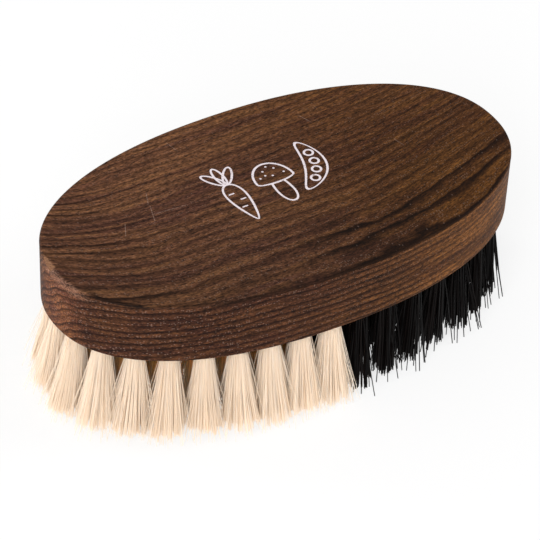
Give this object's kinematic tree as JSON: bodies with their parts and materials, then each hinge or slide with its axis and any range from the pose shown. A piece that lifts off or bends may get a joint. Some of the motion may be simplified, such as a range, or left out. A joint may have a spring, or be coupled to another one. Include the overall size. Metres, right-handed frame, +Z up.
{
  "type": "vegetable brush",
  "caption": "Oval palm-held vegetable brush: dark wood block with soft light tufts on one half, stiff dark tufts on the other, and a foil line drawing on top.",
  "frame": {"origin": "on the plane of the bristle tips, under the centre of the block", "axes": "+X along the block towards the dark half, +Z up through the block's flat top"},
  "size_m": [0.1363, 0.0757, 0.0445],
  "materials": {
    "wood": "heat-treated, sanded and waxed, satin",
    "foil": "hot-stamped silver foil",
    "light_bristle": "soft plant fibre, matt",
    "dark_bristle": "stiff dark bristle, slight sheen",
    "anchor_steel": "cut flat wire"
  },
  "bodies": {
    "root": {"wood_block": "wood", "foil_carrot": "foil", "foil_mushroom": "foil", "foil_pea_pod": "foil", "light_tufts_outer_front": "light_bristle", "light_tufts_outer_back": "light_bristle", "light_tufts_second_front": "light_bristle", "light_tufts_second_back": "light_bristle", "light_tufts_third_front": "light_bristle", "light_tufts_third_back": "light_bristle", "light_tufts_centre": "light_bristle", "dark_tufts_outer_front": "dark_bristle", "dark_tufts_outer_back": "dark_bristle", "dark_tufts_second_front": "dark_bristle", "dark_tufts_second_back": "dark_bristle", "dark_tufts_third_front": "dark_bristle", "dark_tufts_third_back": "dark_bristle", "dark_tufts_centre": "dark_bristle", "light_anchors_outer_front": "anchor_steel", "light_anchors_outer_back": "anchor_steel", "light_anchors_second_front": "anchor_steel", "light_anchors_second_back": "anchor_steel", "light_anchors_third_front": "anchor_steel", "light_anchors_third_back": "anchor_steel", "light_anchors_centre": "anchor_steel", "dark_anchors_outer_front": "anchor_steel", "dark_anchors_outer_back": "anchor_steel", "dark_anchors_second_front": "anchor_steel", "dark_anchors_second_back": "anchor_steel", "dark_anchors_third_front": "anchor_steel", "dark_anchors_third_back": "anchor_steel", "dark_anchors_centre": "anchor_steel"}
  },
  "joints": []
}
